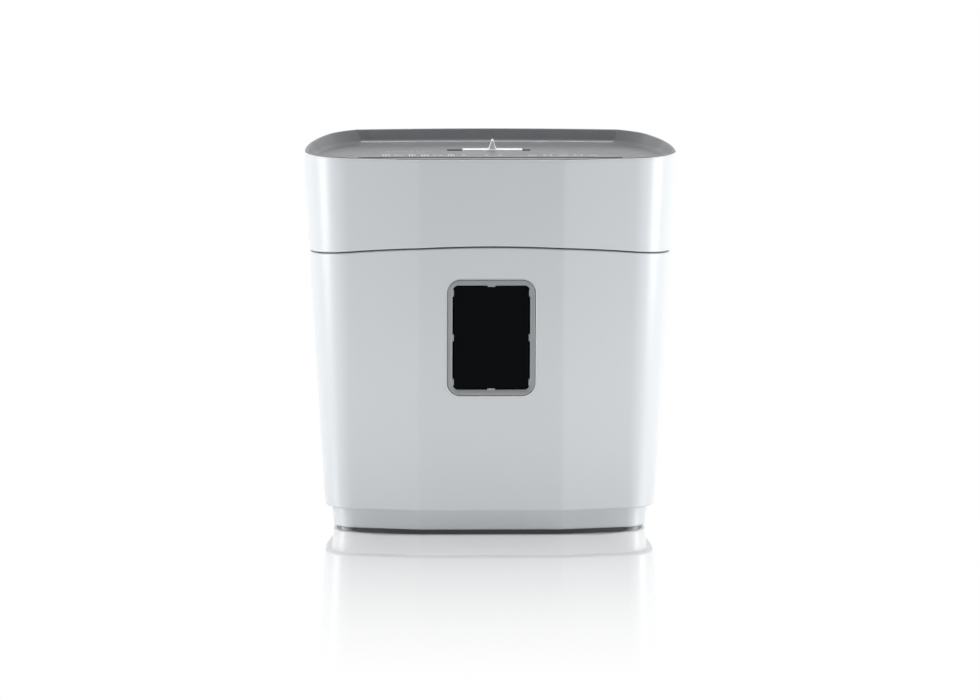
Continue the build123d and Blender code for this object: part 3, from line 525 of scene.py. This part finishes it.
def make_top_cover():
    """The grey cover: flange, skirt, sunken tray, and the feed slot and the slider's slot through it."""
    rings = [ring(inset, lambda x, y: tray_z(y) - TRAY_THICK) for inset in (6.5, TRAY_WALL_FOOT)]
    rings += [ring(TRAY_WALL_FOOT, RIM_Z - SKIRT_DEEP), ring(SKIRT_IN, RIM_Z - SKIRT_DEEP)]
    rings += [ring(SKIRT_IN, RIM_Z - FLANGE_THICK), ring(FLANGE_IN, RIM_Z - FLANGE_THICK)]
    for inwards, along in edge_arc(FLANGE_ROUND, 4):
        rings.append(ring(FLANGE_IN + inwards, RIM_Z - FLANGE_ROUND + along))
    brink = tray_wall_inset(RIM_Z)
    rings += [ring(brink - 0.5, RIM_Z), ring(brink - 0.1, RIM_Z - 0.1)]
    rings += [ring(tray_wall_inset(RIM_Z - 0.5) + 0.05, RIM_Z - 0.5)]
    rings += [tray_ring(step / 8) for step in range(9)]
    cover = lofted("tray_cover", rings)
    corner, edge = 1.2, 0.35
    levels = [(SLOT_LENGTH, SLOT_WIDTH, corner, -12.0), (SLOT_LENGTH, SLOT_WIDTH, corner, -edge)]
    for inwards, along in edge_arc(edge, 4)[1:]:
        levels.append((SLOT_LENGTH + 2 * inwards, SLOT_WIDTH + 2 * inwards, corner + inwards, along - edge))
    levels.append((SLOT_LENGTH + 2 * edge, SLOT_WIDTH + 2 * edge, corner + edge, 4.0))
    cut(cover, tray_cutter("slot_cutter", (0, SLOT_Y), levels))
    length = SWITCH_SLOT[1] - SWITCH_SLOT[0]
    levels = [(length + wider, SWITCH_WIDTH + wider, 0.8 + wider / 2, z)
              for wider, z in ((0.0, -12.0), (0.0, -0.4), (0.24, -0.12), (0.8, 0.0), (0.8, 4.0))]
    cut(cover, tray_cutter("switch_cutter", ((SWITCH_SLOT[0] + SWITCH_SLOT[1]) / 2, SWITCH_Y), levels))
    return even_normals(cover, 40)


# ---------------------------------------------------------------- mode slider
PLATE_OVER, PLATE_UNDER, PLATE_HALF_DEEP = 0.9, 2.0, 4.9
STEM_HALF_X, STEM_HALF_Y = 2.6, 2
FIN_ROOT, FIN_WAIST, FIN_TIP = 3.6, 1.85, 0.8         # half widths of the fin from its foot up
FIN_SECTIONS = ((-3.8, 0.30), (-3.5, 0.12), (-2.9, 0.0), (3.3, 0.0), (3.65, 0.04), (3.8, 0.12))


def make_slider():
    """The slider's plate, its fin with hollow flanks, and the stem under it."""
    floor = tray_z(SWITCH_Y)
    top = floor + PLATE_OVER
    half = (SLIDER_HIGH.x - SLIDER_LOW.x) / 2
    plate = block("plate", (SLIDER_X - half, SWITCH_Y - PLATE_HALF_DEEP, floor - PLATE_UNDER),
                  (SLIDER_X + half, SWITCH_Y + PLATE_HALF_DEEP, top), 0.5)
    stem = block("stem", (SLIDER_X - STEM_HALF_X, SWITCH_Y - STEM_HALF_Y, SLIDER_LOW.z),
                 (SLIDER_X + STEM_HALF_X, SWITCH_Y + STEM_HALF_Y, floor - 1), 0.3)
    foot = top - 0.3
    tall = SLIDER_HIGH.z - foot
    flank = []
    for i in range(13):
        t = i / 12 * (1 - FIN_TIP / tall)
        half_width = FIN_ROOT * (1 - t) ** 2 + 2 * FIN_WAIST * t * (1 - t) + FIN_TIP * t * t
        flank.append((half_width, foot + tall * t))
    for i in range(1, 6):
        angle = math.pi / 2 * i / 6
        flank.append((FIN_TIP * math.cos(angle), SLIDER_HIGH.z - FIN_TIP * (1 - math.sin(angle))))
    profile = flank + [(0.0, SLIDER_HIGH.z)] + [(-x, z) for x, z in reversed(flank)]
    rings = []
    for along, shrink in FIN_SECTIONS:
        rings.append([(SLIDER_X + x * (1 - shrink), SWITCH_Y + along, foot + (z - foot) * (1 - shrink * 0.4))
                      for x, z in profile])
    return even_normals(joined("slide_knob", [plate, stem, lofted("fin", rings)]), 40)


# ---------------------------------------------------------------- plain marks on the tray
MARK_LIFT = 0.03


def mark(name, outlines):
    """Flat printed marks on the tray: each outline is (x, y) points."""
    bm = bmesh.new()
    for points in outlines:
        bm.faces.new([bm.verts.new((x, y, tray_z(y) + MARK_LIFT)) for x, y in points])
    return finish_mesh(name, bm, smooth=False)


def oblong(x, y, width, height, corner=0.3):
    """A bar or, with a large corner, a dot."""
    return [(x + px, y + py) for px, py in rounded(width, height, corner, 3)]


def ring_mark(x, y, radius, thick):
    """A thin ring, as two half bands."""
    bands = []
    for start in (0, math.pi):
        angles = [start + math.pi * i / 12 for i in range(13)]
        outer = [(x + radius * math.cos(a), y + radius * math.sin(a)) for a in angles]
        hole = radius - thick
        inner = [(x + hole * math.cos(a), y + hole * math.sin(a)) for a in reversed(angles)]
        bands.append(outer + inner)
    return bands


def frame_mark(x, y, width, height, thick):
    """Four thin bars round a rectangle."""
    return [oblong(x, y - height / 2, width, thick), oblong(x, y + height / 2, width, thick),
            oblong(x - width / 2, y, thick, height), oblong(x + width / 2, y, thick, height)]


ROW_Y, DASH_ROW_Y = -20.0, 9.0
LINE = 0.9                                            # thickness of a frame's bars


def make_marks():
    """Rows of generic frames, rings, bars and dots round the slots, without lettering."""
    outlines = []
    for index, x in enumerate(range(-88, -30, 11)):
        if index % 3 == 0:
            outlines += frame_mark(x, ROW_Y, 5.2, 12.0, LINE)
            outlines.append(oblong(x, ROW_Y, 2.4, 5.0, 1.0))
        elif index % 3 == 1:
            outlines += ring_mark(x, ROW_Y, 4.2, 1.0)
        else:
            bars = ((-2, 13.0), (0.2, 13.0), (2.4, 9.0))
            outlines += [oblong(x + across, ROW_Y, 1.0, tall) for across, tall in bars]
    for index, x in enumerate(range(36, 92, 13)):
        if index % 2:
            outlines += frame_mark(x, ROW_Y, 6.0, 9.0, LINE)
        else:
            outlines += ring_mark(x, ROW_Y, 4.0, 1.0)
            outlines.append(oblong(x, ROW_Y, 2.0, 2.0, 0.9))
    for x in (-22.0, -3.0, 9.0):
        outlines.append(oblong(x, ROW_Y, 3.4, 4.4, 1.2))
    for x in range(-86, -46, 5):
        outlines.append(oblong(x, DASH_ROW_Y, 3.4, 1.6, 0.6))
    return mark("tray_marks", outlines)


# ---------------------------------------------------------------- materials
def noise(nodes, links, scale, detail=3.0, stretch=None):
    """A noise texture in object space, drawn out along an axis by stretch."""
    coords = nodes.new("ShaderNodeTexCoord")
    texture = nodes.new("ShaderNodeTexNoise")
    texture.inputs["Scale"].default_value = scale
    texture.inputs["Detail"].default_value = detail
    if stretch:
        mapping = nodes.new("ShaderNodeMapping")
        mapping.inputs["Scale"].default_value = stretch
        links.new(coords.outputs["Object"], mapping.inputs["Vector"])
        links.new(mapping.outputs["Vector"], texture.inputs["Vector"])
    else:
        links.new(coords.outputs["Object"], texture.inputs["Vector"])
    return texture


def ramp(nodes, links, source, low, high, start=0.35, end=0.65):
    """Maps a source between start and end to a number from low to high."""
    node = nodes.new("ShaderNodeMapRange")
    node.inputs["From Min"].default_value = start
    node.inputs["From Max"].default_value = end
    node.inputs["To Min"].default_value = low
    node.inputs["To Max"].default_value = high
    links.new(source, node.inputs["Value"])
    return node.outputs["Result"]


CLOUD_SCALE, PATCH_SCALE = 18.0, 60.0                 # of the colour drift and of the uneven roughness
GRAIN_HEIGHT = 0.0004


def finish_look(name, colour, rough, spread=0.05, grain=900.0, bump=0.02, metal=0.0, specular=0.5, vary=0.03,
                stretch=None, wear_and_highlight=0.0, coat=0.0):
    """Uneven roughness, fine grain, slight colour drift and, if asked, brighter edges: part wear, part
    painted highlight.
    """
    material = bpy.data.materials.new(name)
    material.use_nodes = True
    nodes, links = material.node_tree.nodes, material.node_tree.links
    shader = nodes["Principled BSDF"]
    shader.inputs["Metallic"].default_value = metal
    shader.inputs["Specular IOR Level"].default_value = specular
    shader.inputs["Coat Weight"].default_value = coat
    shader.inputs["Coat Roughness"].default_value = 0.12
    cloud = noise(nodes, links, CLOUD_SCALE)
    drift = nodes.new("ShaderNodeMix")
    drift.data_type = "RGBA"
    drift.inputs["A"].default_value = (*[c * (1 - vary) for c in colour], 1)
    drift.inputs["B"].default_value = (*[min(1.0, c * (1 + vary)) for c in colour], 1)
    links.new(cloud.outputs["Fac"], drift.inputs["Factor"])
    colour_out = drift.outputs["Result"]
    # Lighter colour on convex edges: part wear, part painted highlight.
    if wear_and_highlight:
        geometry = nodes.new("ShaderNodeNewGeometry")
        edge = ramp(nodes, links, geometry.outputs["Pointiness"], 0.0, wear_and_highlight, 0.51, 0.56)
        worn_and_highlit_edge = nodes.new("ShaderNodeMix")
        worn_and_highlit_edge.data_type = "RGBA"
        worn_and_highlit_edge.inputs["B"].default_value = (*[min(1.0, c * 1.5 + 0.04) for c in colour], 1)
        links.new(edge, worn_and_highlit_edge.inputs["Factor"])
        links.new(colour_out, worn_and_highlit_edge.inputs["A"])
        colour_out = worn_and_highlit_edge.outputs["Result"]
    links.new(colour_out, shader.inputs["Base Color"])
    patches = noise(nodes, links, PATCH_SCALE, 4.0)
    uneven = ramp(nodes, links, patches.outputs["Fac"], rough - spread, rough + spread)
    links.new(uneven, shader.inputs["Roughness"])
    fine = noise(nodes, links, grain, 2.0, stretch)
    lumps = nodes.new("ShaderNodeBump")
    lumps.inputs["Strength"].default_value = bump
    lumps.inputs["Distance"].default_value = GRAIN_HEIGHT
    links.new(fine.outputs["Fac"], lumps.inputs["Height"])
    links.new(lumps.outputs["Normal"], shader.inputs["Normal"])
    return material


BRUSHED = (1.0, 1.0, 14.0)
LOOKS = {
    "white_body": finish_look("white_plastic", (0.56, 0.583, 0.60), 0.30, 0.008, 700, 0.004, vary=0.003),
    "grey_cover": finish_look("grey_plastic", (0.135, 0.143, 0.15), 0.36, 0.04, 1400, 0.10,
                              vary=0.02, wear_and_highlight=0.2),
    "window_grey": finish_look("bezel_grey", (0.25, 0.262, 0.27), 0.38, 0.04, 1200, 0.06,
                               vary=0.02, wear_and_highlight=0.3),
    "window_smoke": finish_look("smoke", (0.003, 0.0034, 0.0038), 0.08, 0.02, 300, 0.004,
                                specular=0.02, vary=0.02),
    "foot_rubber": finish_look("rubber", (0.42, 0.42, 0.41), 0.75, 0.06, 900, 0.2, specular=0.3),
    "black_plastic": finish_look("black_plastic_look", (0.02, 0.02, 0.021), 0.42, 0.06, 1100, 0.12,
                                 wear_and_highlight=0.4),
    "white_nylon": finish_look("nylon", (0.74, 0.73, 0.68), 0.42, 0.05, 700, 0.05, wear_and_highlight=0.1),
    "switch_white": finish_look("slider_white", (0.80, 0.80, 0.80), 0.28, 0.03, 700, 0.01,
                                vary=0.01, wear_and_highlight=0.1),
    "cutter_steel": finish_look("cutter", (0.42, 0.42, 0.43), 0.30, 0.08, 500, 0.12, 1.0,
                                stretch=BRUSHED, wear_and_highlight=0.5),
    "plate_steel": finish_look("plate", (0.58, 0.60, 0.61), 0.36, 0.10, 160, 0.08, 1.0,
                               vary=0.08, wear_and_highlight=0.3),
    "gear_steel": finish_look("gear", (0.34, 0.33, 0.32), 0.34, 0.08, 600, 0.10, 1.0, wear_and_highlight=0.6),
    "screw_steel": finish_look("screw", (0.62, 0.62, 0.62), 0.26, 0.08, 900, 0.08, 1.0, wear_and_highlight=0.4),
    "bush_bronze": finish_look("bronze", (0.55, 0.33, 0.13), 0.38, 0.08, 700, 0.10, 1.0,
                               vary=0.08, wear_and_highlight=0.4),
    "motor_steel": finish_look("motor", (0.50, 0.51, 0.53), 0.30, 0.07, 300, 0.06, 1.0,
                               stretch=BRUSHED, wear_and_highlight=0.4),
    "board_green": finish_look("board", (0.012, 0.13, 0.045), 0.34, 0.05, 900, 0.06, coat=0.4),
    "relay_blue": finish_look("relay", (0.02, 0.09, 0.36), 0.35, 0.05, 700, 0.05, wear_and_highlight=0.2),
    "lead_red": finish_look("red_lead", (0.50, 0.015, 0.012), 0.40, 0.05, 600, 0.05),
    "lead_black": finish_look("black_lead", (0.015, 0.015, 0.016), 0.42, 0.05, 600, 0.05),
    "capacitor_skin": finish_look("can_skin", (0.02, 0.025, 0.05), 0.25, 0.04, 400, 0.03),
}
PRINT_WHITE = finish_look("print_white", (0.62, 0.62, 0.62), 0.45, 0.04, 900, 0.02)


def dress(piece, slot):
    """Gives a piece the finish of a slot."""
    piece.data.materials.clear()
    piece.data.materials.append(LOOKS[slot])


# ---------------------------------------------------------------- build
PIECES = (
    (even_normals(make_bin()), "bin", "white_body", ("waste_bin",)),
    (make_window_frame(), "bin", "window_grey", ("window_frame",)),
    (make_pane(), "bin", "window_smoke", ("window_pane",)),
    (make_head_shell(), "head", "white_body", ("head_shell",)),
    (make_top_cover(), "head", "grey_cover", ("top_cover",)),
    (make_slider(), "slider", "switch_white", ("switch_slider",)),
)
for piece, body, slot, nodes_replaced in PIECES:
    dress(piece, slot)
    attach(piece, body)
    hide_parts(*nodes_replaced)

marks = make_marks()
marks.data.materials.append(PRINT_WHITE)
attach(marks, "head")

NODE_SLOTS = {row["node"]: row["material_slot"] for row in frame["record"]["subparts"]}
EDGE_SOFT = 0.0002                                    # softening of the CAD pieces' edges, in metres
for name, node in frame["nodes"].items():
    material_slot = NODE_SLOTS.get(name)
    if material_slot in LOOKS:
        node.data.materials.clear()
        node.data.materials.append(LOOKS[material_slot])
    soften = node.modifiers.new("soft_edges", "BEVEL")
    soften.width = EDGE_SOFT
    soften.segments = 2
    soften.limit_method = "ANGLE"
    soften.angle_limit = math.radians(40)
    soften.harden_normals = True


# ---------------------------------------------------------------- floor and light
FLOOR_SIZE = 60.0
PAINTED_SHADOW_HALF, PAINTED_SHADOW_CORNER = (0.083, 0.045), 0.038      # the painted shadow below the object
PAINTED_SHADOW_TAPER = 0.25                                    # how fast the painted shadow narrows towards the back
PAINTED_SHADOW_LEVEL, PAINTED_SHADOW_EDGE = 0.06, 0.007
MIRROR_START, MIRROR_FULL = 0.02, -0.05               # the mirror comes in between these y towards the front
MIRROR_REACH, MIRROR_ROUGH = 0.55, 0.03
MIRROR_FADE = ((0.0, 0.74), (0.10, 0.68), (0.30, 0.43), (0.50, 0.26), (0.70, 0.12), (0.90, 0.03), (1.0, 0.0))


def make_floor():
    """A white glossy floor: its mirror fades out away from the object, and a painted shadow darkens it in the
    gap below it.
    """
    bm = bmesh.new()
    bmesh.ops.create_grid(bm, x_segments=1, y_segments=1, size=FLOOR_SIZE / 2 / MM)
    floor = finish_mesh("studio_floor", bm, smooth=False)
    material = bpy.data.materials.new("floor_look")
    material.use_nodes = True
    nodes, links = material.node_tree.nodes, material.node_tree.links
    nodes.clear()
    coords = nodes.new("ShaderNodeTexCoord")
    split = nodes.new("ShaderNodeSeparateXYZ")
    links.new(coords.outputs["Object"], split.inputs["Vector"])

    def math_node(kind, a, b=None, clamp=False):
        node = nodes.new("ShaderNodeMath")
        node.operation = kind
        node.use_clamp = clamp
        for socket, value in zip(node.inputs, (a, b)):
            if value is None:
                continue
            if isinstance(value, (int, float)):
                socket.default_value = value
            else:
                links.new(value, socket)
        return node.outputs[0]

    taper = math_node("MULTIPLY", math_node("MAXIMUM", split.outputs["Y"], 0.0), PAINTED_SHADOW_TAPER)
    side = math_node("ADD", math_node("ABSOLUTE", split.outputs["X"]), taper)
    depth = math_node("ABSOLUTE", split.outputs["Y"])
    out_x = math_node("MAXIMUM", math_node("SUBTRACT", side, PAINTED_SHADOW_HALF[0]), 0.0)
    out_y = math_node("MAXIMUM", math_node("SUBTRACT", depth, PAINTED_SHADOW_HALF[1]), 0.0)
    squares = math_node("ADD", math_node("MULTIPLY", out_x, out_x), math_node("MULTIPLY", out_y, out_y))
    away = math_node("MAXIMUM", math_node("SUBTRACT", math_node("SQRT", squares), PAINTED_SHADOW_CORNER), 0.0)
    ahead = nodes.new("ShaderNodeMapRange")
    ahead.interpolation_type = "SMOOTHSTEP"
    ahead.inputs["From Min"].default_value = MIRROR_START
    ahead.inputs["From Max"].default_value = MIRROR_FULL
    links.new(split.outputs["Y"], ahead.inputs["Value"])
    fade = nodes.new("ShaderNodeValToRGB")
    fade.color_ramp.interpolation = "LINEAR"
    elements = fade.color_ramp.elements
    elements[0].color = (MIRROR_FADE[0][1],) * 3 + (1,)
    elements[1].color = (MIRROR_FADE[-1][1],) * 3 + (1,)
    for position, value in MIRROR_FADE[1:-1]:
        element = elements.new(position)
        element.color = (value,) * 3 + (1,)
    links.new(math_node("DIVIDE", away, MIRROR_REACH), fade.inputs["Fac"])
    # The floor's emission drops inside the object's footprint: a painted shadow.
    painted_shadow = nodes.new("ShaderNodeMapRange")
    painted_shadow.inputs["From Min"].default_value = 0.0
    painted_shadow.inputs["From Max"].default_value = PAINTED_SHADOW_EDGE
    painted_shadow.inputs["To Min"].default_value = PAINTED_SHADOW_LEVEL
    links.new(away, painted_shadow.inputs["Value"])
    glow = nodes.new("ShaderNodeEmission")
    links.new(painted_shadow.outputs["Result"], glow.inputs["Strength"])
    mirror = nodes.new("ShaderNodeBsdfGlossy")
    mirror.inputs["Roughness"].default_value = MIRROR_ROUGH
    mirror.inputs["Color"].default_value = (1, 1, 1, 1)
    mix = nodes.new("ShaderNodeMixShader")
    links.new(math_node("MULTIPLY", fade.outputs["Color"], ahead.outputs["Result"]), mix.inputs["Fac"])
    links.new(glow.outputs["Emission"], mix.inputs[1])
    links.new(mirror.outputs["BSDF"], mix.inputs[2])
    output = nodes.new("ShaderNodeOutputMaterial")
    links.new(mix.outputs["Shader"], output.inputs["Surface"])
    floor.data.materials.append(material)


SKY_LOW, SKY_HIGH, SKY_ABOVE = 0.25, 0.60, 0.55       # height band over which the world dims, and to what
FRONT_DARK, FRONT_LIT = -0.75, -0.05                  # y of the directions where the dark front ends


def make_world():
    """A white room that is dimmer above and dark towards the front."""
    world = bpy.data.worlds.new("studio")
    world.use_nodes = True
    bpy.context.scene.world = world
    nodes, links = world.node_tree.nodes, world.node_tree.links
    background = nodes["Background"]
    coords = nodes.new("ShaderNodeTexCoord")
    split = nodes.new("ShaderNodeSeparateXYZ")
    links.new(coords.outputs["Generated"], split.inputs["Vector"])
    high = nodes.new("ShaderNodeMapRange")
    high.inputs["From Min"].default_value = SKY_LOW
    high.inputs["From Max"].default_value = SKY_HIGH
    high.inputs["To Min"].default_value = 1.0
    high.inputs["To Max"].default_value = SKY_ABOVE
    links.new(split.outputs["Z"], high.inputs["Value"])
    ahead = nodes.new("ShaderNodeMapRange")
    ahead.inputs["From Min"].default_value = FRONT_DARK
    ahead.inputs["From Max"].default_value = FRONT_LIT
    links.new(split.outputs["Y"], ahead.inputs["Value"])
    both = nodes.new("ShaderNodeMath")
    both.operation = "MULTIPLY"
    links.new(high.outputs["Result"], both.inputs[0])
    links.new(ahead.outputs["Result"], both.inputs[1])
    links.new(both.outputs["Value"], background.inputs["Strength"])
    background.inputs["Color"].default_value = (1, 1, 1, 1)


def area_light(name, place, target, size, power):
    """A rectangular lamp aimed at a point, unseen by the camera."""
    lamp = bpy.data.lights.new(name, "AREA")
    lamp.shape = "RECTANGLE"
    lamp.size, lamp.size_y = size
    lamp.energy = power
    light = bpy.data.objects.new(name, lamp)
    light.location = place
    light.rotation_euler = (Vector(target) - Vector(place)).to_track_quat("-Z", "Y").to_euler()
    bpy.context.scene.collection.objects.link(light)
    light.visible_camera = False
    return light


make_floor()
make_world()
area_light("side_left", (-0.95, -0.20, 0.30), (0, 0, 0.17), (0.35, 0.9), 7.2)
area_light("side_right", (0.95, -0.24, 0.30), (0, 0, 0.17), (0.35, 0.9), 8.3)
area_light("overhead", (0.0, 0.15, 1.8), (0, 0, 0.32), (0.9, 0.5), 17.0)
low_light = area_light("front_low", (0.0, -0.42, 0.02), (0, 0, 0.02), (1.5, 0.05), 1.02)
low_light.visible_glossy = False

# ---------------------------------------------------------------- camera
CAMERA_AWAY, CAMERA_HIGH = 5.299, 1.094               # metres from the body's front plane and above the floor
AZIMUTH, PITCH, ROLL, YAW = (math.radians(v) for v in (1.422, 9.992, 0.176, 1.409))
SENSOR_WIDTH = 36.0
FOCAL_WIDTHS = 6.53265                                # focal length over the picture's width


def make_camera():
    """A long lens in front of the object, looking slightly down."""
    lens = bpy.data.cameras.new("camera")
    lens.sensor_width = SENSOR_WIDTH
    lens.lens = SENSOR_WIDTH * FOCAL_WIDTHS
    lens.clip_end = 100.0
    camera = bpy.data.objects.new("camera", lens)
    bpy.context.scene.collection.objects.link(camera)
    front = FRONT_TOP * MM
    place = Vector((-CAMERA_AWAY * math.sin(AZIMUTH), front - CAMERA_AWAY * math.cos(AZIMUTH), CAMERA_HIGH))
    ahead = Vector((math.sin(YAW) * math.cos(PITCH), math.cos(YAW) * math.cos(PITCH), -math.sin(PITCH)))
    right = Vector((math.cos(YAW), -math.sin(YAW), 0))
    up = right.cross(ahead)
    tilted_right = right * math.cos(ROLL) + up * math.sin(ROLL)
    tilted_up = up * math.cos(ROLL) - right * math.sin(ROLL)
    turn = Matrix((tilted_right, tilted_up, -ahead)).transposed()
    camera.matrix_world = Matrix.Translation(place) @ turn.to_4x4()
    bpy.context.scene.camera = camera


make_camera()
scene = bpy.context.scene
scene.view_settings.view_transform = "Standard"
scene.view_settings.look = "None"
